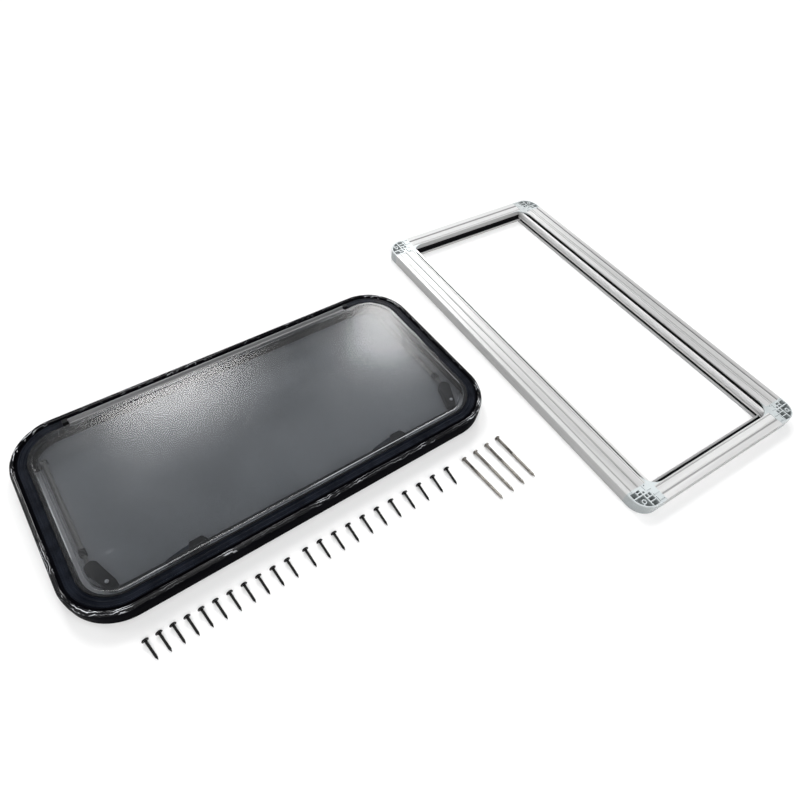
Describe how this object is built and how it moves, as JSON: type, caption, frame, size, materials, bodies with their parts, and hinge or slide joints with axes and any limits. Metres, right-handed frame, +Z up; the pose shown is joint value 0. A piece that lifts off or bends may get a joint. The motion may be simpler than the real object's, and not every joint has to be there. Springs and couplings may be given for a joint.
{
  "type": "hinged hatch window kit",
  "caption": "Top-hung smoked hatch in a black rounded rim with latches and stays, its aluminium blind cassette and loose fixings laid out beside it.",
  "frame": {"origin": "centre of the hatch, on the clamp ring's flat underside, which lies on the bench", "axes": "+X along the hinge, away from the left latch and towards the cassette; +Y from the latches to the hinge; +Z up, out of the outside face of the hatch"},
  "size_m": [1.5167, 0.955, 0.0405],
  "materials": {
    "black_frame": "satin black coat",
    "rubber": "matt",
    "black_plastic": "fine grain",
    "navy_plastic": "fine grain",
    "smoked_acrylic": "smoked, polished",
    "aluminium": "brushed along its length",
    "stay_alloy": "satin",
    "corner_plastic": "pale, slightly translucent",
    "blackout_cloth": "pleated",
    "screen_mesh": "pleated mesh",
    "black_steel": "blackened",
    "bright_steel": "plated"
  },
  "bodies": {
    "rim": {"outer_rim": "black_frame", "clamp_ring": "black_frame", "rim_gasket": "rubber", "trim_gasket": "rubber", "pane_seal": "rubber", "hinge_rail": "aluminium", "hinge_end_caps": "black_plastic", "latch_keeper_left": "aluminium", "latch_keeper_right": "aluminium", "stay_foot_left": "black_plastic", "stay_foot_right": "black_plastic"},
    "sash": {"outer_pane": "smoked_acrylic", "inner_pane": "smoked_acrylic", "hinge_strip": "aluminium", "latch_base_left": "black_plastic", "latch_base_right": "black_plastic", "latch_pivot_caps": "aluminium", "stay_bracket_left": "black_plastic", "stay_bracket_right": "black_plastic", "stay_bracket_rivets": "aluminium"},
    "latch_left": {"latch_handle_left": "navy_plastic"},
    "latch_right": {"latch_handle_right": "navy_plastic"},
    "stay_outer_left": {"stay_tube_left": "stay_alloy", "stay_collar_left": "black_plastic"},
    "stay_outer_right": {"stay_tube_right": "stay_alloy", "stay_collar_right": "black_plastic"},
    "stay_inner_left": {"stay_rod_left": "stay_alloy"},
    "stay_inner_right": {"stay_rod_right": "stay_alloy"},
    "cassette": {"cassette_rail_blind_side": "aluminium", "cassette_rail_screen_side": "aluminium", "cassette_end_rail_near": "aluminium", "cassette_end_rail_far": "aluminium", "cassette_corner_near_blind": "corner_plastic", "cassette_corner_near_screen": "corner_plastic", "cassette_corner_far_blind": "corner_plastic", "cassette_corner_far_screen": "corner_plastic", "guide_strip_near": "black_plastic", "guide_strip_far": "black_plastic", "pile_strip_blind": "black_plastic", "pile_strip_screen": "black_plastic", "blackout_pleats": "blackout_cloth", "flyscreen_pleats": "screen_mesh"},
    "blackout_pull_bar": {"blackout_bar": "aluminium"},
    "flyscreen_pull_bar": {"flyscreen_bar": "aluminium"},
    "clamp_screw_set": {"clamp_screws": "black_steel"},
    "long_screw_set": {"long_screws": "bright_steel"}
  },
  "joints": [
    {"name": "sash_hinge", "type": "hinge", "parent": "rim", "child": "sash", "pos_m": [0, 0.205, 0.0325], "axis": [-1, 0, 0], "range_deg": [0, 45]},
    {"name": "latch_left_turn", "type": "hinge", "parent": "sash", "child": "latch_left", "pos_m": [-0.22, -0.164, 0.0065], "axis": [0, 0, -1], "range_deg": [0, 90]},
    {"name": "latch_right_turn", "type": "hinge", "parent": "sash", "child": "latch_right", "pos_m": [0.22, -0.164, 0.0065], "axis": [0, 0, -1], "range_deg": [0, 90]},
    {"name": "stay_left_swing", "type": "hinge", "parent": "rim", "child": "stay_outer_left", "pos_m": [-0.393, 0.15, 0.01], "axis": [-1, 0, 0], "range_deg": [0, 52]},
    {"name": "stay_left_extend", "type": "slide", "parent": "stay_outer_left", "child": "stay_inner_left", "axis": [0, -1, 0], "range_m": [0, 0.0316]},
    {"name": "stay_right_swing", "type": "hinge", "parent": "rim", "child": "stay_outer_right", "pos_m": [0.393, 0.15, 0.01], "axis": [-1, 0, 0], "range_deg": [0, 52]},
    {"name": "stay_right_extend", "type": "slide", "parent": "stay_outer_right", "child": "stay_inner_right", "axis": [0, -1, 0], "range_m": [0, 0.0316]},
    {"name": "cassette_lift", "type": "slide", "parent": "rim", "child": "cassette", "axis": [0, 0, 1], "range_m": [0, 0.25]},
    {"name": "blackout_pull", "type": "slide", "parent": "cassette", "child": "blackout_pull_bar", "axis": [0.9988, -0.0488, 0], "range_m": [0, 0.185]},
    {"name": "flyscreen_pull", "type": "slide", "parent": "cassette", "child": "flyscreen_pull_bar", "axis": [-0.9988, 0.0488, 0], "range_m": [0, 0.185]},
    {"name": "clamp_screws_lift", "type": "slide", "parent": "rim", "child": "clamp_screw_set", "axis": [0, 0, 1], "range_m": [0, 0.06]},
    {"name": "long_screws_lift", "type": "slide", "parent": "rim", "child": "long_screw_set", "axis": [0, 0, 1], "range_m": [0, 0.06]}
  ],
  "couplings": [
    {"joint": "stay_left_swing", "follows": "sash_hinge", "ratio": 1.1532},
    {"joint": "stay_left_extend", "follows": "sash_hinge", "m_per_rad": 0.040094},
    {"joint": "stay_right_swing", "follows": "sash_hinge", "ratio": 1.1532},
    {"joint": "stay_right_extend", "follows": "sash_hinge", "m_per_rad": 0.040094}
  ]
}
